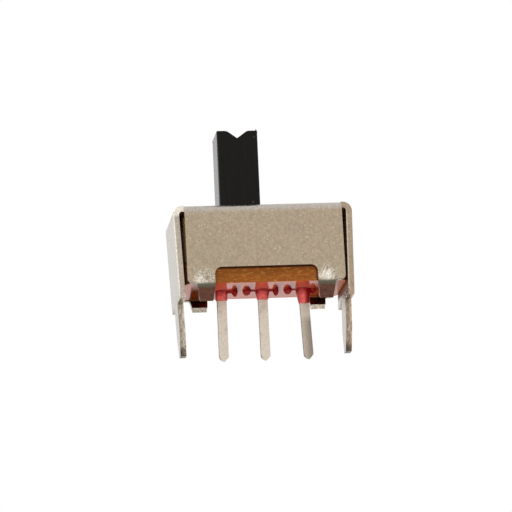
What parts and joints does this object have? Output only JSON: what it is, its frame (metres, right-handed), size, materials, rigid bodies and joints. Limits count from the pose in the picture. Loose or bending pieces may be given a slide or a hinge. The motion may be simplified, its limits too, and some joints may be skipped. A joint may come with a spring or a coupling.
{
  "type": "slide switch",
  "caption": "Miniature slide switch in a folded metal frame, with a tall notched handle, straight terminals and fixing legs for a circuit board.",
  "frame": {"origin": "middle of the plane that the frame's front feet stand on, which is the circuit board's top surface; the terminals and fixing legs reach below it", "axes": "+Z towards the handle's end, X along the slider's travel, Y across it with the front at -Y"},
  "size_m": [0.0086, 0.0044, 0.0114],
  "materials": {
    "plated_sheet": "satin tin plate with a fine grain",
    "paper_laminate": "brown laminate, rough at its cut edges and glossy below",
    "tinned_brass": "pale tin plate over brass",
    "red_lacquer": "glossy, slightly see-through",
    "black_plastic": "satin moulding",
    "contact_bronze": "silver clad bronze strip"
  },
  "bodies": {
    "switch_frame": {"frame": "plated_sheet", "base_board": "paper_laminate", "terminal_left": "tinned_brass", "terminal_middle": "tinned_brass", "terminal_right": "tinned_brass", "sealing_lacquer": "red_lacquer"},
    "sliding_unit": {"slider": "black_plastic", "moving_contact": "contact_bronze"}
  },
  "joints": [
    {"name": "slider_travel", "type": "slide", "parent": "switch_frame", "child": "sliding_unit", "axis": [1, 0, 0], "range_m": [0, 0.002]}
  ]
}
